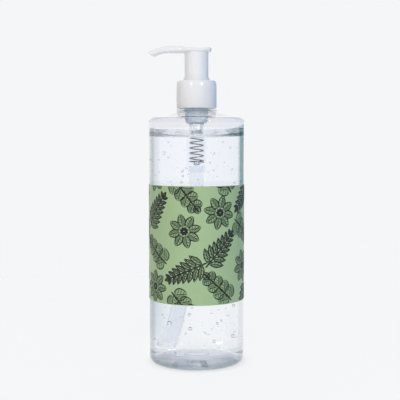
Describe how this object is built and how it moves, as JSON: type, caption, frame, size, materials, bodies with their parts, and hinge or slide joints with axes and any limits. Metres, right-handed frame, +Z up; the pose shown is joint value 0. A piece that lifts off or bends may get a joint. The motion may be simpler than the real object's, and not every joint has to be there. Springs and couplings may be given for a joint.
{
  "type": "hand sanitizer pump bottle",
  "caption": "Round clear bottle of gel with a flat shoulder, a green wrap label and a white lotion pump with a long curved spout, to press and dispense hand gel.",
  "frame": {"origin": "centre of the base, on the surface that the bottle stands on", "axes": "+Z up along the bottle's axis, the spout points along -X at rest, the label's bare strip faces +Y"},
  "size_m": [0.0669, 0.0663, 0.2198],
  "materials": {
    "clear_pet": "clear blown PET, glossy",
    "label_film": "printed green film, satin",
    "clear_gel": "clear gel with small air bubbles",
    "white_pp": "white moulded polypropylene, smooth",
    "natural_pp": "natural moulded polypropylene, translucent",
    "tube_pe": "natural extruded polyethylene tube, translucent",
    "gasket_foam": "white polyethylene foam",
    "spring_steel": "drawn stainless steel"
  },
  "bodies": {
    "bottle": {"bottle": "clear_pet", "wrap_label": "label_film", "gel_fill": "clear_gel"},
    "pump_body": {"pump_housing": "natural_pp", "neck_gasket": "gasket_foam", "lock_ring": "white_pp", "stem_guide": "white_pp", "return_spring": "spring_steel", "inlet_ball": "spring_steel", "dip_tube": "tube_pe"},
    "collar": {"screw_collar": "white_pp"},
    "plunger": {"piston": "natural_pp"},
    "head": {"actuator": "white_pp", "stem": "white_pp", "piston_seat": "white_pp"}
  },
  "joints": [
    {"name": "pump_lift", "type": "slide", "parent": "bottle", "child": "pump_body", "axis": [0, 0, 1], "range_m": [0, 0.00476], "deforming": ["gel_fill"]},
    {"name": "collar_turn", "type": "hinge", "parent": "pump_body", "child": "collar", "pos_m": [0, 0, 0.185], "axis": [0, 0, 1], "range_deg": [0, 540]},
    {"name": "head_press", "type": "slide", "parent": "pump_body", "child": "plunger", "axis": [0, 0, -1], "range_m": [0, 0.014], "stiffness_N_per_m": 500, "springref_m": -0.006, "deforming": ["return_spring"]},
    {"name": "head_swivel", "type": "hinge", "parent": "plunger", "child": "head", "pos_m": [0, 0, 0.2], "axis": [0, 0, 1], "continuous": true}
  ],
  "couplings": [
    {"joint": "collar_turn", "follows": "pump_lift", "rad_per_m": 1979}
  ]
}
